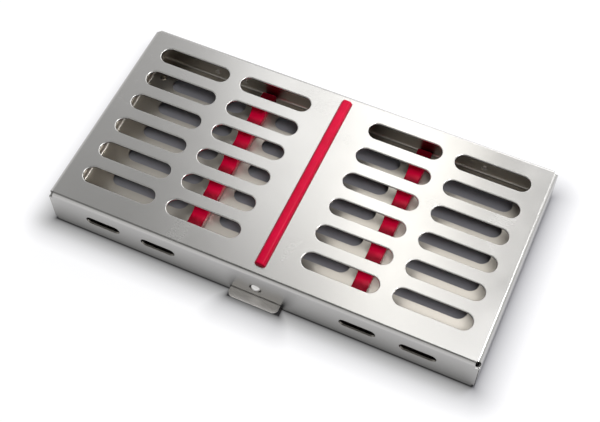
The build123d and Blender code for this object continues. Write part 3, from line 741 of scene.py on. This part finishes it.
# ---------------------------------------------------------------- studio
@dataclass(frozen=True)
class Softbox:
    """A rectangular lamp that hangs in a direction from the cassette and faces it.

    Its glow is the light of its cloth, where 1 is white paper in full light.
    """

    name: str
    direction: tuple[float, float, float]
    distance: float
    width: float
    height: float
    glow: float
    colour: str = "#ffffff"

    def hang(self, target: Vector) -> bpy.types.Object:
        """Hangs the lamp.

        Args:
            target: The point that it faces.

        Returns:
            The lamp.
        """
        data = bpy.data.lights.new(self.name, "AREA")
        data.shape = "RECTANGLE"
        data.size, data.size_y = self.width, self.height
        data.energy = self.glow * math.pi * self.width * self.height
        data.color = linear(self.colour)[:3]
        lamp = bpy.data.objects.new(self.name, data)
        away = Vector(self.direction).normalized()
        turned = away.to_track_quat("Z", "Y").to_matrix().to_4x4()
        lamp.matrix_world = Matrix.Translation(target + away * self.distance) @ turned
        bpy.context.scene.collection.objects.link(lamp)
        return lamp


@dataclass
class Studio:
    """A white paper floor under soft lamps, and the camera at the photograph's angle."""

    paper: StudioPaper
    camera_place: tuple[float, float, float] = (0.11876, -0.25989, 0.46278)
    camera_turn: tuple[float, float, float] = (31.6001, 0.2776, 24.4796)    # degrees
    camera_lens: float = 70.204
    floor_size: float = 8.0
    lip_painted_shade_inset: float = 1.2 * MM    # of the box of painted shade on the paper under the lip
    lamps: tuple[Softbox, ...] = (
        Softbox("overhead_softbox", (-0.13, 0.72, 1.0), 1.1, 0.14, 0.42, 2.45, "#fffcf5"),
        Softbox("left_softbox", (-0.32, 0.75, 1.0), 1.1, 0.22, 0.42, 1.5),
        Softbox("near_softbox", (0.03, 0.32, 1.0), 1.2, 0.36, 0.25, 2.1),
        Softbox("top_softbox", (0.34, 0.28, 1.0), 1.2, 0.3, 0.3, 24.0),
        Softbox("back_softbox", (0.3, 1.0, 0.45), 1.5, 1.5, 0.6, 2.2),
        Softbox("right_softbox", (0.3, 1.0, 0.9), 1.5, 0.6, 0.4, 2.0),
    )

    def build(self) -> list[bpy.types.Object]:
        """Sets up the studio.

        Returns:
            The floor and the lamps.
        """
        target = Vector((0.0, 0.0, 0.022))
        return [self.lay_floor(), *(lamp.hang(target) for lamp in self.lamps), self.set_camera(), self.light_room()]

    def lay_floor(self) -> bpy.types.Object:
        """Lays the paper."""
        mesh = bmesh.new()
        bmesh.ops.create_grid(mesh, x_segments=1, y_segments=1, size=self.floor_size / 2)
        low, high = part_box("latch_plate")
        inset = Vector((self.lip_painted_shade_inset, self.lip_painted_shade_inset, 0.0))
        # painted shade: the paper's glow fades round the cover and the lip
        painted_shade_boxes = [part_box("cover"), (low + inset, high - inset)]
        floor = finish_mesh("paper_floor", mesh, self.paper.material(painted_shade_boxes))
        return floor

    def set_camera(self) -> bpy.types.Object:
        """Places the camera."""
        data = bpy.data.cameras.new("camera")
        data.lens = self.camera_lens
        data.clip_start, data.clip_end = 0.01, 50.0
        camera = bpy.data.objects.new("camera", data)
        camera.location = self.camera_place
        camera.rotation_euler = [math.radians(angle) for angle in self.camera_turn]
        bpy.context.scene.collection.objects.link(camera)
        bpy.context.scene.camera = camera
        return camera

    def light_room(self) -> bpy.types.World:
        """Makes the room: pale near the horizon, a dark ceiling in front and a lighter one behind."""
        world = bpy.data.worlds.new("studio")
        world.use_nodes = True
        tree = world.node_tree
        tree.nodes.clear()
        towards = add_node(tree, "TexCoord").outputs["Generated"]
        parts = add_node(tree, "SeparateXYZ", {0: towards}).outputs
        low = add_node(
            tree, "MapRange", {"Value": parts["Z"], "From Min": 0.6, "From Max": 1.0, "To Min": 1.0, "To Max": 0.0},
            interpolation_type="SMOOTHSTEP",
        ).outputs[0]
        behind = add_node(
            tree, "MapRange", {"Value": parts["Y"], "From Min": 0.1, "From Max": 0.45},
            interpolation_type="SMOOTHSTEP",
        ).outputs[0]
        ceiling = add_node(
            tree, "Mix", {0: behind, 6: linear("#4a4946"), 7: linear("#888888")}, data_type="RGBA"
        ).outputs[2]
        pale = add_node(tree, "Math", {0: low, 1: seen_directly(tree)}, operation="MULTIPLY").outputs[0]
        room = add_node(tree, "Mix", {0: pale, 6: ceiling, 7: linear("#f4f4f4")}, data_type="RGBA").outputs[2]
        background = add_node(tree, "Background", {"Color": room, "Strength": 1.0}).outputs[0]
        add_node(tree, "OutputWorld", {"Surface": background})
        bpy.context.scene.world = world
        bpy.context.scene.view_settings.view_transform = "Standard"
        return world


def main() -> None:
    """Builds the dressed cassette and its studio."""
    logging.basicConfig(level=logging.INFO, format="%(name)s: %(message)s")
    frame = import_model()
    case = SteelCase(
        SatinStainless("satin_stainless_sheet"),
        SatinStainless("matt_stainless_sheet", Brushing.ACROSS, "#b4afa7", roughness=0.3, anisotropy=0.3),
        SatinStainless("linished_stainless_latch", Brushing.ACROSS, "#efece8", roughness=0.45, grain_depth_mm=0.0006),
        BrightStainless("cold_formed_stainless"),
    )
    for node in case.build(frame["nodes"]):
        LOG.info("dressed %s", node.name)
    for side in Side:
        rail = SiliconeRail(side, MouldedSilicone(f"{side.word}_rail_silicone")).build()
        LOG.info("built %s", rail.name)
    bar = HoldDownBar(MouldedSilicone("bar_silicone")).build()
    LOG.info("built %s", bar.name)
    spring = LatchSpring(SpringWire("drawn_spring_wire")).build()
    LOG.info("built %s", spring.name)
    for part in Studio(StudioPaper("white_paper")).build():
        LOG.info("placed %s", part.name)


if __name__ == "__main__":
    main()
